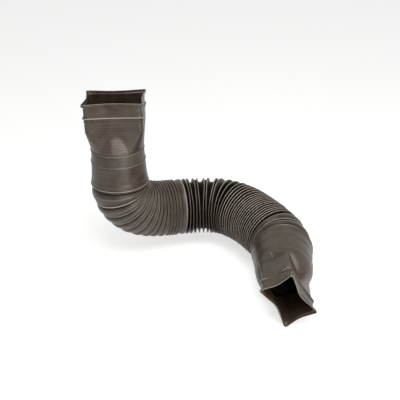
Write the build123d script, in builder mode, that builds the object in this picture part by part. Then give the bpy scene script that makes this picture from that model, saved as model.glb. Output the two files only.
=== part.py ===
from build123d import *
from math import cos, radians, sin
import os

# Flexible downspout extension, blow moulded in one piece: a rectangular inlet that
# slips over the foot of a gutter pipe, a folded hose that keeps the bend it is given,
# and a smaller rectangular outlet.
# Lengths are in mm and angles in degrees. The origin is the middle of the inlet mouth,
# +Z points up out of the mouth, +X runs along its long side and +Y to the house wall.

# Inlet: outer size at the lip, and length from the mouth to the groove before the folds
inlet_width = 106.0
inlet_depth = 85.0
inlet_length = 160.0
inlet_collar_radius = 47.0
inlet_heel = 93.0          # from the mouth to where the rectangle has turned round

# Outlet: the same sizes for the smaller end, and its turn about its own axis
outlet_width = 83.0
outlet_depth = 56.0
outlet_length = 153.0
outlet_collar_radius = 48.5
outlet_heel = 103.0
outlet_turn = 7.0

# What both ends share
wall = 1.6
side_bow = 7.0             # how far the long sides of a mouth are drawn in
mouth_corner = 3.5         # corner radius of a mouth, which is sharper than further in
corner_radius = 7.0
lip_height = 5.0
lip_step = 2.0             # the wall behind the lip stands back by this much
bead_place = 26.0          # from the mouth to the stiffening bead
bead_height = 1.6
bead_width = 6.0
shoulder_place = 52.0      # where the corners begin to taper away
shoulder_length = 22.0
shoulder_corner = 20.0     # corner radius at the end of the shoulder
heel_lap = 4.0             # the rectangle ends this far past its heel, inside the round part
round_flat = 1.0           # flats left where the rectangle has turned round
dome_length = 68.0         # the rounded end of the round part, seen on the flat sides
ridge_height = 1.3
ridge_width = 3.0
ridge_foot = 1.5           # the steep side of a ridge
ridge_gap = 21.0           # between the two ridges on a collar
collar_flare = 3.2
rolled_bead = 2.6          # how far the bead at the foot of a collar stands out
rolled_bead_length = 10.0
groove_depth = 0.8
neck_bead = 1.0            # thin ring between a collar's groove and the first fold
neck_length = 3.5

# Folds
crest_radius = 53.0
root_radius = 44.5
fold_wall = 3.0            # skin of a fold, measured across the axis of the hose

# A fold that stands open is a broad lobe: it rises to its crest at lobe_start, falls a
# little to lobe_radius at lobe_end and then drops into the root. These are shares of its
# pitch, and so is the skin of its two steep sides. A fold that is drawn together is a
# narrow blade with its crest in the middle.
lobe_start = 0.16
lobe_end = 0.92
lobe_skin = 0.14
lobe_radius = 51.8

# The bends from inlet to outlet. Each run has its number of folds, the pitch of one
# fold along the middle of the hose, how far the run turns to the right and to the wall,
# and how many folds one straight piece of the bore passes. That is 0 where the folds
# stand open and the bore follows them. In the other runs the folds are drawn together.
# A run without folds only makes the next flank longer.
runs = [
    (1, 20.8, 17.0, 10.0, 0),
    (2, 12.3, 17.0, 12.0, 0),
    (3, 13.4, 24.0, 12.0, 0),
    (3, 12.2, 22.0, -2.0, 0),
    (4, 5.9, 0.0, 0.0, 4),
    (0, 7.2, 0.0, 0.0, 0),
    (6, 8.6, 13.0, -14.0, 6),
    (6, 11.0, 16.0, -38.0, 3),
    (6, 8.4, 10.0, -15.0, 6),
    (12, 5.5, -5.0, -5.0, 12),
    (2, 21.7, 15.0, -25.0, 0),
]


def step(plane, way, share=1.0):
    """Moves a plane on by a share of (length, right, back): half the turn, the way, the rest."""
    length, right, back = way
    half_turn = Rotation(back * share / 2, right * share / 2, 0)
    return Plane(plane.location * half_turn * Location((0, 0, length * share)) * half_turn)


def fold_circles(start):
    """The circles of the hose: plane, outer radius, bore radius. Either may be None."""
    root = (root_radius, root_radius - fold_wall)
    circles = [(start, *root)]
    plane = start
    for folds, pitch, right, back, passed in runs:
        if folds == 0:
            plane = step(plane, (pitch, right, back))
        for fold in range(1, round(folds) + 1):
            way = (pitch, right / folds, back / folds)
            middle = step(plane, way, 0.5)
            if passed == 0:
                bore_start = step(plane, way, lobe_start + lobe_skin)
                bore_end = step(middle, way, lobe_end - lobe_skin - 0.5)
                circles.append((step(plane, way, lobe_start), crest_radius, None))
                circles.append((bore_start, None, crest_radius - fold_wall))
                circles.append((bore_end, None, lobe_radius - fold_wall))
                circles.append((step(middle, way, lobe_end - 0.5), lobe_radius, None))
            else:
                circles.append((middle, crest_radius, None))
            plane = step(middle, way, 0.5)
            if passed == 0 or fold % passed == 0 or fold == folds:
                circles.append((plane, *root))
            else:
                circles.append((plane, root_radius, None))
    return circles


def hose(circles, inside):
    """The folds as one ruled skin, or the bore inside them."""
    with BuildPart() as skin:
        for plane, outer_radius, bore_radius in circles:
            radius = bore_radius if inside else outer_radius
            if radius:
                with BuildSketch(plane):
                    Circle(radius)
        loft(ruled=True)
    return skin.part


def pinched_rectangle(width, depth, bow, corner):
    """Rectangle with rounded corners and its sides drawn in, the short ones by half."""
    x = width / 2
    y = depth / 2
    with BuildSketch() as outline:
        if bow:
            with BuildLine():
                ThreePointArc((-x, -y), (0, bow - y), (x, -y))
                ThreePointArc((x, -y), (x - bow / 2, 0), (x, y))
                ThreePointArc((x, y), (0, y - bow), (-x, y))
                ThreePointArc((-x, y), (bow / 2 - x, 0), (-x, -y))
            make_face()
        else:
            Rectangle(width, depth)
        fillet(outline.vertices(), corner)
    return outline.sketch


def socket(mouth, width, depth, radius, heel, inset):
    """The rectangular part of an end, from the lip to where it has turned round."""
    shoulder_end = shoulder_place + shoulder_length
    # distance from the mouth, how far the sides stand back, their bow, corner radius
    levels = [
        (-inset, 0, side_bow, mouth_corner),
        (lip_height, lip_step, side_bow / 2, corner_radius),
    ]
    if not inset:
        levels += [
            (bead_place - bead_width / 2, lip_step, 0, corner_radius),
            (bead_place, lip_step - bead_height, 0, corner_radius),
            (bead_place + bead_width / 2, lip_step, 0, corner_radius),
        ]
    levels += [
        (shoulder_place, lip_step, 0, corner_radius),
        (shoulder_end, lip_step, 0, shoulder_corner),
    ]
    with BuildPart() as skin:
        for level, step_back, bow, corner in levels:
            less = 2 * (step_back + inset)
            with BuildSketch(mouth.offset(level)):
                add(pinched_rectangle(width - less, depth - less, bow, corner - inset))
        with BuildSketch(mouth.offset(heel + heel_lap)):
            side = 2 * (radius - inset - heel_lap)
            RectangleRounded(side, side, side / 2 - round_flat / 2)
        loft(ruled=True)
    return skin.part


def collar(mouth, radius, heel, length, inset):
    """The round part of an end: a domed top, two ridges, a flare and a rolled bead."""
    bead_start = length - rolled_bead_length
    end = length + neck_length
    flare = collar_flare / (bead_start - heel)
    rolled = radius + collar_flare + rolled_bead
    groove = radius + collar_flare - groove_depth
    # radius and distance from the mouth, from the top of the dome to the first fold
    profile = []
    for turn in (0, 45, 90) if inset else (0, 30, 60, 90):
        across = (radius - inset) * sin(radians(turn))
        along = (dome_length - inset) * cos(radians(turn))
        profile.append((across, heel - along))
    if inset:
        profile += [(groove - inset, length - wall), (root_radius - fold_wall, end)]
    else:
        profile += [
            (radius + ridge_height, heel + ridge_width),
            (radius, heel + ridge_width + ridge_foot),
            (radius + flare * ridge_gap, heel + ridge_gap),
            (radius + flare * ridge_gap + ridge_height, heel + ridge_gap + ridge_width),
            (radius + flare * ridge_gap, heel + ridge_gap + ridge_width + ridge_foot),
            (radius + collar_flare, bead_start),
            (rolled, bead_start + rolled_bead),
            (rolled, length - rolled_bead),
            (groove, length),
            (groove + neck_bead, length + neck_length / 2),
            (root_radius, end),
        ]
    with BuildPart() as skin:
        with BuildSketch(Plane(mouth.origin, x_dir=mouth.x_dir, z_dir=-mouth.y_dir)):
            with BuildLine():
                Polyline(*profile, (0, end), close=True)
            make_face()
        revolve(axis=Axis(mouth.origin, mouth.z_dir))
    return skin.part


def moulding(inset):
    """The whole outer skin, or with an inset the space inside it."""
    with BuildPart() as skin:
        add(hose(hose_circles, inset > 0))
        for mouth, width, depth, radius, heel, length in ends:
            add(collar(mouth, radius, heel, length, inset))
            add(socket(mouth, width, depth, radius, heel, inset))
    return skin.part


inlet_mouth = Plane((0, 0, 0), x_dir=(1, 0, 0), z_dir=(0, 0, -1))
hose_circles = fold_circles(inlet_mouth.offset(inlet_length + neck_length))
hose_end = hose_circles[-1][0]
outlet_mouth = Plane(
    hose_end.location
    * Location((0, 0, outlet_length + neck_length))
    * Rotation(0, 0, outlet_turn)
    * Rotation(0, 180, 0)
)
ends = (
    (inlet_mouth, inlet_width, inlet_depth, inlet_collar_radius, inlet_heel, inlet_length),
    (outlet_mouth, outlet_width, outlet_depth, outlet_collar_radius, outlet_heel, outlet_length),
)

with BuildPart() as downspout_extension:
    add(moulding(0))
    add(moulding(wall), mode=Mode.SUBTRACT)
downspout_extension.part.label = "downspout_extension"

os.makedirs("parts", exist_ok=True)
export_step(downspout_extension.part, "parts/downspout_extension.step")
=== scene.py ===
import math

import bpy
import numpy as np
from mathutils import Matrix, Vector


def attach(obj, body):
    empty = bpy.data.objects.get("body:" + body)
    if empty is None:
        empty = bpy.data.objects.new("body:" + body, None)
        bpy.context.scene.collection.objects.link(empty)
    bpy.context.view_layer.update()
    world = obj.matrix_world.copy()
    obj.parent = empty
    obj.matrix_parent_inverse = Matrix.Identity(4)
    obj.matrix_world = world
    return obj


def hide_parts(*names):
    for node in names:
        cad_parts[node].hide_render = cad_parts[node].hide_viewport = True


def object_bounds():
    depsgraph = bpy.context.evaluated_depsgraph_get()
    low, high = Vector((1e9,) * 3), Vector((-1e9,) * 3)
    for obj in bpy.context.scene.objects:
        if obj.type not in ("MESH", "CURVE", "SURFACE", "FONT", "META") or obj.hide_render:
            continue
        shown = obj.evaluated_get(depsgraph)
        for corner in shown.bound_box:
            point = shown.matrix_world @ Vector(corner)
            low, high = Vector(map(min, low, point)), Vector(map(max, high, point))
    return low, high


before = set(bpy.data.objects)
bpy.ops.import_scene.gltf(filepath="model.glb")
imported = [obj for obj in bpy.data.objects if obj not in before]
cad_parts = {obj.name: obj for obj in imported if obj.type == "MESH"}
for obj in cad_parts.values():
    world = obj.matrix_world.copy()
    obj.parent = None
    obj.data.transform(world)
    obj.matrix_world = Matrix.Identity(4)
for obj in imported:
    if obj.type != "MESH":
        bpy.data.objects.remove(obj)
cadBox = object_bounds()

# Flexible downspout extension: one blow moulded piece of brown plastic, a rectangular
# inlet, a folded hose bent down and forward, and a smaller rectangular outlet.
# Sizes are in mm, as in the CAD source, and the meshes are made in metres.
# Every ring of a mesh keeps its painted light and shade for the material: 0 for painted
# shade in a valley, the plain level on plain plastic and 1 for a painted highlight on a crest.
unpaintedLevel = 0.8


def turned(place, right, back):
    toWall = Matrix.Rotation(math.radians(back), 4, "X")
    return place @ toWall @ Matrix.Rotation(math.radians(right), 4, "Y")


def moved(place, length):
    return place @ Matrix.Translation((0, 0, length))


def onward(place, length, right, back):
    # half of the turn, the way, then the other half, as the CAD source steps along
    return turned(moved(turned(place, right / 2, back / 2), length), right / 2, back / 2)


def between(first, second, share):
    # a frame part of the way from the first to the second
    turn = first.to_quaternion().slerp(second.to_quaternion(), share)
    onTheWay = first.translation.lerp(second.translation, share)
    return Matrix.Translation(onTheWay) @ turn.to_matrix().to_4x4()


def ring(place, radii, angles, ahead=0.0):
    # points of one ring in metres, pushed along its axis by "ahead" mm
    along = np.zeros_like(angles) + ahead
    local = np.stack([radii * np.cos(angles), radii * np.sin(angles), along], 1)
    axes = np.array(place.to_3x3())
    return (local @ axes.T + np.array(place.translation)) / 1000


def skin(name, rings, shadeAndHighlight, material):
    # a tube through the rings, with the painted light and shade of each of them
    rows, columns = len(rings), len(rings[0])
    points = np.concatenate(rings)
    at = np.arange(rows * columns).reshape(rows, columns)
    nextColumn = np.roll(at, -1, 1)
    quads = np.stack([at[:-1], nextColumn[:-1], nextColumn[1:], at[1:]], -1).reshape(-1, 4)
    mesh = bpy.data.meshes.new(name)
    mesh.from_pydata(points.tolist(), [], quads.tolist())
    mesh.polygons.foreach_set("use_smooth", [True] * len(mesh.polygons))
    paintedLight = mesh.attributes.new("shadeAndHighlight", "FLOAT", "POINT")
    pointShadeAndHighlight = np.concatenate([np.broadcast_to(amount, columns) for amount in shadeAndHighlight])
    paintedLight.data.foreach_set("value", pointShadeAndHighlight.astype(np.float32))
    mesh.update()
    piece = bpy.data.objects.new(name, mesh)
    bpy.context.scene.collection.objects.link(piece)
    piece.data.materials.append(material)
    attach(piece, "root")
    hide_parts("downspout_extension")
    print(name, rows, "rings,", 2 * len(quads), "triangles")


def evenAngles(columns):
    # the points round one ring
    return np.linspace(0, 2 * math.pi, columns, endpoint=False)


bend = {
    "start": 163.5,        # from the inlet mouth to the first root
    "rootRadius": 44.5,
    "crestRadius": 53.0,
    # folds, pitch, turn to the right, turn to the wall, whether the folds are broad lobes
    "runs": [
        (1, 20.8, 17.0, 10.0, True),
        (2, 12.3, 17.0, 12.0, True),
        (3, 13.4, 24.0, 12.0, True),
        (3, 12.2, 22.0, -2.0, True),
        (4, 5.9, 0.0, 0.0, True),
        (0, 7.2, 0.0, 0.0, True),
        (6, 8.6, 13.0, -14.0, False),
        (6, 11.0, 16.0, -38.0, False),
        (6, 8.4, 10.0, -15.0, False),
        (12, 5.5, -5.0, -5.0, False),
        (2, 21.7, 15.0, -25.0, True),
    ],
    "elbowFolds": 13,      # the folds of the first bend are a piece of their own
    # mm, by the number of the root or fold: roots moved on along the hose, crests pushed
    # on at the top, and roots that stand higher at the top; below zero they go back
    "slips": {1: -3.4, 2: -1.2},
    "leans": {15: -2.6, 17: -2.0, 18: 4.2, 20: 3.0, 21: -2.6, 24: 1.2},
    "fills": {17: 5.5, 19: 4.5, 21: 6.0},
    "unevenness": 0.6,     # mm, how far the crests of the narrow folds stray
    "straySpan": (-1.0, 0.2),
    "strayWave": 0.6,      # how much of it changes round the crest
    "strayTurn": 6.0,      # radians by which that wave is turned at most
    "straySeed": 7,
    "shadeLiftFolds": 22,      # this many folds have less painted shade on their flanks, more so towards the crest
    "flankShadeLift": 0.6,
    "openFolds": 25,       # after this many the folds are drawn close together
    "openHighlightCut": 0.07,      # painted highlight taken off the narrow crests of the open folds
    "lowerHighlightCut": 0.08,     # and off the side of a narrow crest that looks down
    "columns": 208,        # points round each ring
}

# Shape of one fold: how far along it, how high between root and crest, and its painted
# light and shade. A lobe is broad and rounded and ends in a thin edge over an undercut; it
# has painted highlights across its middle and on the edge, and painted shade at its root
# and in the undercut.
lobeFold = [
    (0.00, 0.00, 0.0), (0.012, 0.16, 0.0), (0.03, 0.32, 0.05), (0.06, 0.49, 0.18),
    (0.11, 0.66, 0.5), (0.18, 0.80, 0.74), (0.27, 0.92, 0.84), (0.37, 0.985, 0.88),
    (0.47, 1.00, 0.86), (0.57, 0.96, 0.70), (0.67, 0.87, 0.52), (0.75, 0.76, 0.36),
    (0.81, 0.69, 0.32), (0.845, 0.70, 0.7), (0.875, 0.75, 0.94), (0.91, 0.775, 0.95),
    (0.94, 0.75, 0.94), (0.955, 0.66, 0.7), (0.95, 0.42, 0.1), (0.947, 0.22, 0.0),
    (0.96, 0.06, 0.0),
]
# A fold that is drawn together is a narrow blade between deep grooves, with a painted
# highlight on its crest and painted shade down in the grooves.
bladeFold = [
    (0.00, 0.00, 0.0), (0.10, 0.02, 0.0), (0.20, 0.08, 0.0), (0.29, 0.30, 0.0),
    (0.35, 0.66, 0.1), (0.39, 0.90, 0.6), (0.45, 0.99, 1.0), (0.55, 0.99, 1.0),
    (0.61, 0.90, 0.6), (0.65, 0.66, 0.1), (0.71, 0.30, 0.0), (0.80, 0.08, 0.0),
    (0.90, 0.02, 0.0),
]
# The blade after a lobe has a broad plain flank on its inlet side, with painted shade only
# near its root.
flankFold = [
    (0.00, 0.00, 0.0), (0.02, 0.30, 0.4), (0.05, 0.52, 0.7), (0.12, 0.70, unpaintedLevel),
    (0.24, 0.84, unpaintedLevel), (0.36, 0.95, unpaintedLevel), (0.43, 0.99, 0.9),
] + bladeFold[6:]
crestHighlightLevel = 0.9            # a narrow fold's crest has its painted highlight above this level


def hosePlaces(first):
    # every root and crest with its frame, and whether its fold is a broad lobe
    places = [(first, True)]
    place = first
    for folds, pitch, right, back, lobe in bend["runs"]:
        if folds == 0:
            place = onward(place, pitch, right, back)
        for half in range(2 * folds):
            place = onward(place, pitch / 2, right / folds / 2, back / folds / 2)
            places.append((place, lobe))
    for root, slip in bend["slips"].items():
        # the crest before the root goes half of the way with it
        for number, length in ((2 * root, slip), (2 * root - 1, slip / 2)):
            place, lobe = places[number]
            places[number] = (moved(place, length), lobe)
    return places


def hoseRings(places, firstFold, lastFold):
    angles = evenAngles(bend["columns"])
    rings, shadeAndHighlight = [], []
    random = np.random.default_rng(bend["straySeed"])
    strays = random.uniform(*bend["straySpan"], (len(places), 3))
    for fold in range(firstFold, lastFold):
        rootPlace, crestPlace, nextPlace = (places[2 * fold + k][0] for k in range(3))
        lobe = places[2 * fold + 1][1]
        afterLobe = places[2 * fold - 1][1]
        shape = lobeFold if lobe else flankFold if afterLobe else bladeFold
        upward = crestPlace.to_3x3().inverted() @ Vector((0, 0, 1))
        fromTop = angles - math.atan2(upward.y, upward.x)
        upmost = np.cos(fromTop).clip(0, 1) ** 2
        stray, highlightCut = 0.0, 0.0
        if not lobe:
            level, wave, turn = strays[fold]
            wave = bend["strayWave"] * wave * np.cos(angles - bend["strayTurn"] * turn)
            stray = (level + wave) * bend["unevenness"]
            # the painted highlight on the crests is stronger on the side that looks up and where
            # they stand close
            highlightCut = 0.0 if fold >= bend["openFolds"] else bend["openHighlightCut"]
            highlightCut = highlightCut + bend["lowerHighlightCut"] * (1 - np.cos(fromTop)) / 2
        foldHeight = bend["crestRadius"] - bend["rootRadius"] + stray
        lean = bend["leans"].get(fold, 0.0)
        for along, height, paintedLight in shape:
            if along < 0.5:
                root, place = fold, between(rootPlace, crestPlace, along * 2)
            else:
                root, place = fold + 1, between(crestPlace, nextPlace, along * 2 - 1)
            fill = bend["fills"].get(root, 0.0) * (1 - height) ** 2 * upmost
            radii = bend["rootRadius"] + height * foldHeight + fill
            rings.append(ring(place, radii, angles, lean * height * upmost))
            # the first folds have less painted shade on their flanks, the more so towards the
            # crest
            if fold < bend["shadeLiftFolds"]:
                paintedLight = max(paintedLight, bend["flankShadeLift"] * height)
            shadeAndHighlight.append(paintedLight - highlightCut * (paintedLight > crestHighlightLevel))
    lastRoot = np.full(bend["columns"], bend["rootRadius"])
    rings.append(ring(places[2 * lastFold][0], lastRoot, angles))
    # painted shade at the last root
    shadeAndHighlight.append(0.0)
    return rings, shadeAndHighlight


inlet = {
    "width": 106.0,
    "depth": 85.0,
    "radius": 47.0,
    "heel": 90.0,          # where the rectangle has turned round
    "length": 160.0,
    "domeLong": 66.0,      # length of the dome on the long and on the short sides
    "domeShort": 40.0,
    "ridges": (93.5, 114.5),
    "ridgeHeight": 1.3,
    "bead": 23.5,
    "bulgeStart": 147.0,
    "twist": 1.5,          # degrees at the lip, the thin mouth is a little out of true
    "shift": (0.0, 0.0),   # mm at the lip, and how much longer its half sides are there
    "grow": (0.0, 0.0),
    "frontRise": 3.0,      # the lip stands higher on the front side
    "edgeHighlight": 1.0,      # strength of the painted highlights on the ridges and the foot of the collar
    "soft": 0.6,           # mm, softness of the edge where a dome meets the flat sides
    "boss": 1.0,           # the dome stands out of the flat side by a small step
    "bowLong": 5.0,        # how far the long and the short sides are drawn in at the lip
    "bowShort": 3.5,
    "ribHeight": 0.3,
    "panelStep": 0.0,
}

outlet = {
    "width": 83.0,
    "depth": 56.0,
    "radius": 48.5,
    "heel": 90.0,
    "length": 153.0,
    "turn": 7.0,           # degrees about its own axis
    "domeLong": 54.0,
    "domeShort": 17.0,
    "ridges": (98.0, 126.0),
    "ridgeHeight": 0.6,
    "bead": 28.0,
    "bulgeStart": 143.0,
    "twist": 0.0,
    "shift": (-0.3, -2.0),
    "grow": (1.1, 1.9),
    "frontRise": 0.0,
    "edgeHighlight": 0.4,
    "soft": 1.7,
    "boss": 0.0,
    "bowLong": 8.0,
    "bowShort": 4.0,
    "ribHeight": 0.0,
    "panelStep": 1.0,      # a shallow step down the middle of the short side
}

mouthShape = {
    "wall": 1.6,
    "neck": 3.5,           # from the end of the collar to the first fold
    "flare": 3.2,
    "lipCorner": 3.2,      # corner radius at the lip, and from cornerPlace on
    "corner": 7.5,
    "cornerPlace": 8.0,
    "tipFlare": 1.3,       # the corners of the lip are drawn out by this much
    "tipWidth": 0.10,      # radians
    "taperStart": 50.0,
    "lipReach": 80.0,      # the lip's twist, shift and growth are gone this far from it
    "riseFade": 10.0,      # mm over which the raised front fades
    "risePart": 0.6,       # the front is fully raised where the sine is above this
    "beadHeight": 2.4,
    "beadWidth": 4.0,
    "lineGap": 7.0,        # a second, faint line lies this far behind the bead
    "lineHeight": 0.7,
    "lineWidth": 2.6,
    "flatSoft": 0.6,       # mm, softness of the edges of the flat sides
    "ribPitch": 5.3,       # fine ribs moulded across the rectangular part
    "ribGap": 10.0,        # from the bead to where they begin
    "bossFull": 1.2,       # mm, the dome stands this far out where its boss is full
    "bossFade": 10.0,      # mm before the heel
    "panelAngles": (-0.5, 0.0),    # its step, in radians from the middle of the upper side
    "upperWidth": 0.3,     # and this far to both sides of that middle the bead is missing
    "insideWider": 1.0,    # inside, the round part is this much wider than its heel
    "columns": 336,
}

# Forms along an end, each as places in mm and what it has there. From the lip on: how far
# the wall stands back, and the share of the drawn-in sides, of the drawn-out tips and of
# the panel's step.
lipForm = [0, 1.0, 4.0, 5.4, 7.0, 10.0], [0.4, 0.0, 0.0, 2.2, 2.3, 1.8]
bowForm = [0, 6, 40, 60], [1.0, 0.6, 0.12, 0.0]
tipForm = [0, 5, 12], [1.0, 0.6, 0.0]
panelForm = [33, 36], [0, 1]
# Past a ridge: the share of its height. Past the start of the bulge, and past the end of
# the collar: how far they stand out.
ridgeForm = [-2.0, -0.5, 0.1, 0.7, 1.6, 2.6], [0, 1.0, 1.0, -0.3, -0.3, 0]
bulgeForm = [0, 3.0], [0, 0.9]
footForm = [-5, -2.4, -1.2, -0.6, 0, 0.7], [1.3, 2.5, 2.7, 2.0, -0.4, -1.6]
# The thin ring on the neck: mm high, how much of the neck it takes, below 1 is fuller
neckRing = {"height": 2.6, "part": 0.8, "fullness": 0.8}


def plateau(offset, halfWidth, steepness):
    # 1 in the middle and 0 well past the half width
    return np.exp(-(offset / halfWidth) ** steepness)


def bump(at, middle, width):
    # a rounded bead of height 1
    return math.exp(-((at - middle) / (width / 2)) ** 2)


def ribWave(at):
    return math.cos(2 * math.pi * at / mouthShape["ribPitch"])


def mix(first, second, share):
    return first * (1 - share) + second * share


def softer(first, second, softness):
    # the larger of two outlines, or with a softness below zero the smaller, and a soft
    # edge where they meet
    return softness * np.logaddexp(first / softness, second / softness)


def lipShare(at):
    # how much of the lip's own twist, shift and growth is left at a distance from it
    return max(1 - at / mouthShape["lipReach"], 0)


def fromUpper(angles):
    # radians from the middle of the outlet's upper side
    return np.angle(np.exp(1j * (angles - math.pi)))


def upperShare(end, angles):
    # 1 in the middle of the outlet's upper side, which has no bead there
    if not end["panelStep"]:
        return 0
    return plateau(fromUpper(angles), mouthShape["upperWidth"], steepness=4)


def roundedBox(angles, halfWidth, halfDepth, corner, bowLong, bowShort, flare):
    # distance from the axis to a rectangle with round corners, sides drawn in and tips
    # drawn out
    across, up = np.abs(np.cos(angles)), np.abs(np.sin(angles))
    midX, midY = halfWidth - corner, halfDepth - corner
    toShort = halfWidth / np.maximum(across, 1e-6)
    toLong = halfDepth / np.maximum(up, 1e-6)
    along = midX * across + midY * up
    inCorner = corner ** 2 - midX ** 2 - midY ** 2 + along ** 2
    toCorner = along + np.sqrt(np.maximum(inCorner, 0))
    onShort, onLong = toShort * up <= midY, toLong * across <= midX
    reach = np.where(onShort, toShort, np.where(onLong, toLong, toCorner))
    # a side is drawn in most at its middle and not at all near its ends
    bowSpan, bowFullness, leastCosine = 0.97, 1.5, 0.3
    shareX = np.minimum(reach * across / (bowSpan * halfWidth), 1)
    shareY = np.minimum(reach * up / (bowSpan * halfDepth), 1)
    drawnLong = bowLong * np.cos(math.pi / 2 * shareX) ** bowFullness
    drawnShort = bowShort * np.cos(math.pi / 2 * shareY) ** bowFullness
    reach -= np.where(toLong < toShort, drawnLong / np.maximum(up, leastCosine),
                      drawnShort / np.maximum(across, leastCosine))
    fromTip = np.arctan2(up, across) - np.arctan2(halfDepth, halfWidth)
    return reach + flare * plateau(fromTip, mouthShape["tipWidth"], steepness=2)


def collarRadius(end, at):
    # the round part: flare, two thin ridges, bulge with a lip, groove and a thin ring
    straight = end["bulgeStart"] - end["heel"]
    out = end["radius"] + mouthShape["flare"] * min((at - end["heel"]) / straight, 1)
    for ridge in end["ridges"]:
        out += end["ridgeHeight"] * np.interp(at - ridge, *ridgeForm)
    foot = end["length"] - end["bulgeStart"]
    bulgePlaces = bulgeForm[0] + [foot + past for past in footForm[0]]
    out += np.interp(at - end["bulgeStart"], bulgePlaces, bulgeForm[1] + footForm[1])
    if at > end["length"]:
        groove = footForm[0][-1]
        past = (at - end["length"] - groove) / (mouthShape["neck"] - groove)
        arch = math.sin(math.pi * min(max(past, 0) / neckRing["part"], 1))
        out += neckRing["height"] * arch ** neckRing["fullness"]
    return out


def endRadii(end, at, angles, inside):
    # outer or inner radius round the axis at a distance from the mouth
    wall = mouthShape["wall"] if inside else 0.0
    heel, radius = end["heel"], end["radius"]
    if at >= heel:
        outer = radius + mouthShape["insideWider"] if inside else collarRadius(end, at)
        return np.full_like(angles, outer - wall)
    back = np.interp(at, *lipForm)
    if not inside:
        beads = mouthShape["beadHeight"] * bump(at, end["bead"], mouthShape["beadWidth"])
        linePlace = end["bead"] + mouthShape["lineGap"]
        beads += mouthShape["lineHeight"] * bump(at, linePlace, mouthShape["lineWidth"])
        back = back - beads * (1 - upperShare(end, angles))
    bow = np.interp(at, *bowForm)
    taper = np.interp(at, [mouthShape["taperStart"], heel], [0, 1])
    corner = np.interp(at, [0, mouthShape["cornerPlace"]],
                       [mouthShape["lipCorner"], mouthShape["corner"]])
    halfWidth = end["width"] / 2 + end["grow"][0] * lipShare(at) - back
    halfDepth = end["depth"] / 2 + end["grow"][1] * lipShare(at) - back
    box = roundedBox(
        angles,
        mix(halfWidth, radius, taper) - wall,
        mix(halfDepth, radius, taper) - wall,
        mix(corner, radius - wall, taper),
        end["bowLong"] * bow,
        end["bowShort"] * bow,
        mouthShape["tipFlare"] * np.interp(at, *tipForm),
    )
    if taper > 0:
        # the flat sides run on down to the round part
        flats = [(halfDepth, np.sin(angles))]
        if end["width"] / 2 < radius:
            flats.append((halfWidth, np.cos(angles)))
        for half, cosine in flats:
            flat = (half - wall) / np.maximum(np.abs(cosine), 1e-3)
            box = softer(box, flat, -mouthShape["flatSoft"])
    domeLength = end["domeShort"] + (end["domeLong"] - end["domeShort"]) * np.sin(angles) ** 2
    dome = radius * np.sqrt(np.maximum(1 - ((heel - at) / domeLength) ** 2, 0))
    outline = softer(box, dome - wall, end["soft"])
    if not inside and at > end["bead"] + mouthShape["ribGap"]:
        standing = np.clip((dome - box) / mouthShape["bossFull"], 0, 1)
        left = np.interp(at, [heel - mouthShape["bossFade"], heel], [1, 0])
        outline = outline + end["boss"] * standing * left
        outline = outline + end["ribHeight"] * ribWave(at)
    if not inside and end["panelStep"]:
        first, last = mouthShape["panelAngles"]
        onPanel = (fromUpper(angles) > first) & (fromUpper(angles) < last)
        outline += end["panelStep"] * onPanel * np.interp(at, *panelForm)
    return outline


# Painted light along an end: painted highlights on the edges that stand out and painted
# shade in the grooves, each as mm past the form's place, width and strength
edgeLines = {
    "bulge": (-1.6, 1.8, 0.16),
    "neckRing": (1.8, 1.4, 0.14),
    "ridge": (-0.2, 1.1, 0.13),
    "bead": (-0.6, 1.6, 0.14),
    "groove": (0.3, 1.4, 1.0),
    "lastGroove": (3.4, 0.9, 1.0),
}

endPainting = {
    "insideDepths": (6, 40),       # mm from the lip, and the inside's painted light level there: painted shade deepens further in
    "insideShade": (0.78, 0.45),
    # a painted highlight along the rounded lip
    "lipHighlight": 0.9,
    # painted shade in the two grooves of the neck
    "grooveShade": 0.6,
    "beadAround": 0.66,    # the outlet's bead keeps its painted highlight only this far round its upper middle
    "bossHighlight": 0.077,     # painted highlight on the boss, stronger on its ribs
    "bossRibHighlight": 0.06,
    "bossGap": 20.0,       # from the bead to where that begins
    "bossFlat": 1.8,       # mm, the flat side stands this far behind the lip
    "bossSine": 0.2,       # and its distance is reckoned with no smaller sine than this
    "bossFade": 0.45,      # radians over which that painted highlight fades to the left of the middle
    "bossFull": 1.15,      # how many times full it would be in the middle, before its limit
}


def edgeLine(kind, at, formPlace):
    # how strong one of these lines is at a distance from the mouth
    offset, width, strength = edgeLines[kind]
    return strength * bump(at, formPlace + offset, width)


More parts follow.
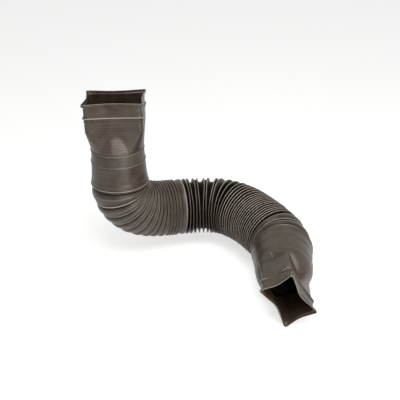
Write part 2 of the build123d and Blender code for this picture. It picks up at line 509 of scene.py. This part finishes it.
def endPaintedLight(end, at, angles):
    # painted highlights on the edges that stand out and on the dome's boss between its ribs,
    # and painted shade in the grooves
    paintedHighlight = edgeLine("bulge", at, end["length"]) + edgeLine("neckRing", at, end["length"])
    for ridge in end["ridges"]:
        paintedHighlight += edgeLine("ridge", at, ridge)
    paintedHighlight = paintedHighlight * end["edgeHighlight"] + np.zeros_like(angles)
    bead = edgeLine("bead", at, end["bead"]) * (1 - upperShare(end, angles))
    if end["panelStep"]:
        bead = bead * plateau(fromUpper(angles), endPainting["beadAround"], steepness=8)
    paintedHighlight += bead
    # a painted highlight on the dome's boss, stronger towards its right side
    if end["boss"] and end["bead"] + endPainting["bossGap"] < at < end["heel"]:
        flat = end["depth"] / 2 - endPainting["bossFlat"]
        flat = flat / np.maximum(np.abs(np.sin(angles)), endPainting["bossSine"])
        up = (end["heel"] - at) / end["domeLong"]
        dome = end["radius"] * math.sqrt(max(1 - up ** 2, 0))
        ribs = 1 + endPainting["bossRibHighlight"] * ribWave(at)
        toRight = endPainting["bossFull"] - (angles - math.pi / 2) / endPainting["bossFade"]
        paintedHighlight += endPainting["bossHighlight"] * ribs * np.clip(dome - flat, 0, 1) * np.clip(toRight, 0, 1)
    # painted shade in the two grooves of the neck
    paintedGrooveShade = edgeLine("groove", at, end["length"]) + edgeLine("lastGroove", at, end["length"])
    return unpaintedLevel + paintedHighlight - endPainting["grooveShade"] * min(paintedGrooveShade, 1)


# Where the rings of an end stand, in mm: from, to and the step, or from and the step
# where they run on to the first fold
ringRows = {
    "inside": ((150.0, 12.0, -5.0), (12.0, 1.0, -1.2)),
    "lipPlace": 1.0,       # where the lip begins to be round, and how high it is
    "lipRound": 0.8,
    "lipShares": (0.15, 0.4, 0.65, 0.9),
    "outside": (0.9, 1.1),
    "lip": (1.0, 9.0, 0.5),
    "form": (-2.6, 2.8, 0.45),     # from the place of each bead and ridge
    "foot": (-6.0, 0.35),          # from the end of the collar
    "lastGap": 0.1,        # the last one keeps this far from the first fold
}


def outsideRows(end, total):
    start, step = ringRows["outside"]
    rows = [np.arange(start, total, step), np.arange(*ringRows["lip"])]
    before, after, step = ringRows["form"]
    for form in (end["bead"], end["bead"] + mouthShape["lineGap"], *end["ridges"]):
        rows.append(np.arange(form + before, form + after, step))
    before, step = ringRows["foot"]
    rows.append(np.arange(end["length"] + before, total, step))
    rows = np.unique(np.concatenate(rows).round(2))
    return rows[rows < total - ringRows["lastGap"]]


def endRings(end, mouthPlace):
    # from deep inside the mouth, over the lip, and along the outside to the first fold
    angles = evenAngles(mouthShape["columns"])
    total = end["length"] + mouthShape["neck"]
    front = np.clip(np.sin(angles) / mouthShape["risePart"], 0, 1)
    rings, shadeAndHighlight = [], []

    def addRing(at, radii, paintedLight):
        # the lip is a little turned and moved against the rest
        part = lipShare(at)
        aside = Matrix.Translation((end["shift"][0] * part, end["shift"][1] * part, 0))
        twist = Matrix.Rotation(math.radians(end["twist"] * part), 4, "Z")
        rise = end["frontRise"] * front * math.exp(-at / mouthShape["riseFade"])
        rings.append(ring(moved(mouthPlace, at) @ aside @ twist, radii, angles, -rise))
        shadeAndHighlight.append(paintedLight)

    for row in ringRows["inside"]:
        for at in np.arange(*row):
            # painted shade that deepens further into the mouth
            paintedLight = np.interp(at, endPainting["insideDepths"], endPainting["insideShade"])
            addRing(at, endRadii(end, at, angles, True), paintedLight)
    innerLip = endRadii(end, ringRows["lipPlace"], angles, True)
    outerLip = endRadii(end, ringRows["lipPlace"], angles, False)
    lipRound = ringRows["lipRound"]
    for share in ringRows["lipShares"]:
        at = lipRound - lipRound * math.sin(math.pi * share)
        # the rounded lip carries a painted highlight
        addRing(at, mix(innerLip, outerLip, share), endPainting["lipHighlight"])
    for at in outsideRows(end, total):
        addRing(at, endRadii(end, at, angles, False), endPaintedLight(end, at, angles))
    # painted shade at the root of the first fold
    addRing(total, np.full(mouthShape["columns"], bend["rootRadius"]), 0.0)
    return rings, shadeAndHighlight


def linear(code):
    # sRGB hex to the linear values that the shader wants, with an alpha of 1
    channels = [int(code[k:k + 2], 16) / 255 for k in (1, 3, 5)]
    return [c / 12.92 if c <= 0.04045 else ((c + 0.055) / 1.055) ** 2.4
            for c in channels] + [1.0]


def addNode(tree, kind, settings=None, inputs=None):
    # one node, its settings by name, and its inputs as values or as sockets to link
    node = tree.nodes.new(kind)
    for key, value in (settings or {}).items():
        setattr(node, key, value)
    for key, value in (inputs or {}).items():
        if isinstance(value, bpy.types.NodeSocket):
            tree.links.new(value, node.inputs[key])
        else:
            node.inputs[key].default_value = value
    return node


def mapped(tree, value, low, high, span=(0.0, 1.0)):
    # low where the value is at the start of the span, high where it is at its end
    return addNode(tree, "ShaderNodeMapRange", inputs={
        "Value": value, "From Min": span[0], "From Max": span[1],
        "To Min": low, "To Max": high,
    }).outputs[0]


def blended(tree, share, first, second):
    # the first colour where share is 0, the second where it is 1
    return addNode(tree, "ShaderNodeMix", {"data_type": "RGBA"}, {
        0: share, 6: first, 7: second,
    }).outputs[2]


def emptyTree(holder):
    # the node tree of a material or world, without what Blender puts into it
    holder.use_nodes = True
    holder.node_tree.nodes.clear()
    return holder.node_tree


plastic = {
    "colour": "#37291e",
    # pale colour of the painted highlights, which the faint clouds also lean towards
    "paintedLight": "#d0c6b6",
    # colour of the painted shade in the valleys and grooves
    "shadeColour": "#0a0806",
    "roughness": 0.38,
    "roughnessSpread": (-0.05, 0.06),      # over roughnessSpan of the clouds' noise
    "roughnessSpan": (0.25, 0.75),
    "ior": 1.49,
    "highlightSpan": (0.86, 1.0),       # painted light level from plain to the strongest painted highlight
    "highlightStrength": 0.95,
    "shadeSpan": (0.05, 0.75),    # painted light level from full painted shade to none
    "specular": (0.05, 0.5),       # level where the painted shade is full and where there is none
    "mottleSize": 18.0,    # mm, faint clouds in the colour of the melt
    "mottleDetail": 3.0,
    "mottleSpan": (0.3, 0.7),
    "mottlePale": 0.05,
    "grainSize": 0.9,      # mm, fine texture of the mould's wall
    "grainDetail": 2.0,
    "grainStrength": 0.12,
    "grainDepth": 0.2,     # mm
}


def noise(tree, where, size, detail):
    # clouds or grain of a size in mm, around 0.5
    return addNode(tree, "ShaderNodeTexNoise", inputs={
        "Vector": where, "Scale": 1000 / size, "Detail": detail,
    }).outputs["Fac"]


def mouldedPolypropylene():
    # Blow moulded polypropylene: satin and a little waxy, with painted highlights along its
    # edges and crests and painted shade in its valleys
    material = bpy.data.materials.new("Moulded brown polypropylene")
    tree = emptyTree(material)
    where = addNode(tree, "ShaderNodeTexCoord").outputs["Object"]
    mottle = noise(tree, where, plastic["mottleSize"], plastic["mottleDetail"])
    grain = noise(tree, where, plastic["grainSize"], plastic["grainDetail"])
    shadeAndHighlight = addNode(tree, "ShaderNodeAttribute", {"attribute_name": "shadeAndHighlight"}).outputs["Fac"]
    # colour: faint clouds, then painted highlights on the edges, then painted shade in the valleys
    paintedLight = linear(plastic["paintedLight"])
    clouds = mapped(tree, mottle, 0.0, plastic["mottlePale"], plastic["mottleSpan"])
    colour = blended(tree, clouds, linear(plastic["colour"]), paintedLight)
    highlightMask = mapped(tree, shadeAndHighlight, 0.0, plastic["highlightStrength"], plastic["highlightSpan"])
    colour = blended(tree, highlightMask, colour, paintedLight)
    shadeMask = mapped(tree, shadeAndHighlight, 1.0, 0.0, plastic["shadeSpan"])
    colour = blended(tree, shadeMask, colour, linear(plastic["shadeColour"]))
    # gloss: duller in the valleys, and uneven with the clouds
    specular = mapped(tree, shadeAndHighlight, *plastic["specular"], plastic["shadeSpan"])
    smooth, rough = (plastic["roughness"] + more for more in plastic["roughnessSpread"])
    roughness = mapped(tree, mottle, smooth, rough, plastic["roughnessSpan"])
    relief = addNode(tree, "ShaderNodeBump", inputs={
        "Strength": plastic["grainStrength"], "Distance": plastic["grainDepth"] / 1000,
        "Height": grain})
    shader = addNode(tree, "ShaderNodeBsdfPrincipled", inputs={
        "Base Color": colour, "Roughness": roughness, "IOR": plastic["ior"],
        "Specular IOR Level": specular, "Normal": relief.outputs["Normal"]})
    addNode(tree, "ShaderNodeOutputMaterial", inputs={"Surface": shader.outputs["BSDF"]})
    return material


brown = mouldedPolypropylene()
print("plastic made")

# The frame of each mouth has its Z axis into the piece, and the hose lies between them
inletMouth = Matrix(((1, 0, 0, 0), (0, -1, 0, 0), (0, 0, -1, 0), (0, 0, 0, 1)))
places = hosePlaces(moved(inletMouth, bend["start"]))
outletMouth = (moved(places[-1][0], outlet["length"] + mouthShape["neck"])
               @ Matrix.Rotation(math.radians(outlet["turn"]), 4, "Z")
               @ Matrix.Rotation(math.pi, 4, "Y"))
foldCount = (len(places) - 1) // 2

skin("inlet", *endRings(inlet, inletMouth), brown)
skin("outlet", *endRings(outlet, outletMouth), brown)
skin("elbow", *hoseRings(places, 0, bend["elbowFolds"]), brown)
skin("hose", *hoseRings(places, bend["elbowFolds"], foldCount), brown)
print("piece made,", foldCount, "folds")


stage = {
    "floorColour": "#dcdcda",
    "floorRoughness": 0.9,
    "floorGlow": 0.62,     # added where the camera looks, so that the paper is white there
    "floorGap": 2.0,       # mm under the piece
    "floorReach": 30.0,    # metres
    "worldLight": 0.27,
    "frontDim": 0.3,       # what a reflection sees of the room in front, 1 behind the piece
    "frontSpan": (-0.5, 0.4),      # Y of the direction from the front to behind
    "reflectedTint": "#eef4f0",
    "white": "#ffffff",
    # where each light stands and points to, its two sides in mm, and its watts
    "lights": {
        "keyLight": ((260, -640, 1060), (140, -80, -150), (900, 900), 13.0),
        "stripLight": ((420, -780, -80), (20, 0, -150), (480, 420), 3.2),
        "fillLight": ((-900, -700, 500), (140, -80, -150), (700, 700), 1.2),
    },
}


def softLight(name, at, towards, size, power):
    lamp = bpy.data.lights.new(name, "AREA")
    lamp.shape = "RECTANGLE"
    lamp.size, lamp.size_y = (side / 1000 for side in size)
    lamp.energy = power
    lamp.color = linear(stage["white"])[:3]
    holder = bpy.data.objects.new(name, lamp)
    holder.location = Vector(at) / 1000
    holder.rotation_euler = (Vector(towards) - Vector(at)).to_track_quat("-Z", "Y").to_euler()
    bpy.context.scene.collection.objects.link(holder)


def lightPath(tree, *names):
    # 1 for the named kinds of ray
    path = addNode(tree, "ShaderNodeLightPath")
    found = path.outputs[names[0]]
    for name in names[1:]:
        larger = addNode(tree, "ShaderNodeMath", {"operation": "MAXIMUM"}, {
            0: found, 1: path.outputs[name]})
        found = larger.outputs[0]
    return found


def whiteFloor():
    # Matt white paper: it takes the shadow, and the camera sees it as white elsewhere
    material = bpy.data.materials.new("White paper sweep")
    tree = emptyTree(material)
    seen = lightPath(tree, "Is Camera Ray", "Is Glossy Ray", "Is Transmission Ray")
    shader = addNode(tree, "ShaderNodeBsdfPrincipled", inputs={
        "Base Color": linear(stage["floorColour"]), "Roughness": stage["floorRoughness"],
        "Emission Color": linear(stage["white"]),
        "Emission Strength": mapped(tree, seen, 0.0, stage["floorGlow"])})
    addNode(tree, "ShaderNodeOutputMaterial", inputs={"Surface": shader.outputs["BSDF"]})
    return material


floorHeight = cadBox[0][2] - stage["floorGap"] / 1000
reach = stage["floorReach"]
floorMesh = bpy.data.meshes.new("floor")
floorMesh.from_pydata([(-reach, -reach, floorHeight), (reach, -reach, floorHeight),
                       (reach, reach, floorHeight), (-reach, reach, floorHeight)],
                      [], [(0, 1, 2, 3)])
floor = bpy.data.objects.new("floor", floorMesh)
floor.data.materials.append(whiteFloor())
bpy.context.scene.collection.objects.link(floor)

# The camera sees a white world, and a reflection sees the white sweep behind the piece
# and a dimmer room in front of it
world = bpy.data.worlds.new("studio")
sky = emptyTree(world)
sweep = lightPath(sky, "Is Camera Ray")
reflected = lightPath(sky, "Is Glossy Ray", "Is Transmission Ray")
direction = addNode(sky, "ShaderNodeTexCoord").outputs["Generated"]
backward = addNode(sky, "ShaderNodeSeparateXYZ", inputs={0: direction}).outputs["Y"]
room = mapped(sky, backward, stage["frontDim"], 1.0, stage["frontSpan"])
lit = mapped(sky, reflected, stage["worldLight"], room)
background = addNode(sky, "ShaderNodeBackground", inputs={
    "Color": blended(sky, reflected, linear(stage["white"]), linear(stage["reflectedTint"])),
    "Strength": mapped(sky, sweep, lit, 1.0)})
addNode(sky, "ShaderNodeOutputWorld", inputs={"Surface": background.outputs[0]})
bpy.context.scene.world = world

for name, light in stage["lights"].items():
    softLight(name, *light)

# Camera fitted to the photograph, in metres
view = {
    "sensor": 36.0,
    "lens": 81.0,
    "farEnd": 100.0,
    "place": (0.1362, -1.4860, 0.5298),
    "toRight": (0.99942, -0.01929, -0.02805),
    "toTop": (0.03369, 0.44235, 0.89621),
}
cameraData = bpy.data.cameras.new("camera")
cameraData.sensor_width = view["sensor"]
cameraData.lens = view["lens"]
cameraData.clip_end = view["farEnd"]
camera = bpy.data.objects.new("camera", cameraData)
toRight, toTop = Vector(view["toRight"]), Vector(view["toTop"])
cameraPose = Matrix((toRight, toTop, toRight.cross(toTop).normalized())).transposed().to_4x4()
cameraPose.translation = view["place"]
camera.matrix_world = cameraPose
bpy.context.scene.collection.objects.link(camera)
bpy.context.scene.camera = camera
bpy.context.scene.view_settings.view_transform = "Standard"
print("stage, lights and camera set")
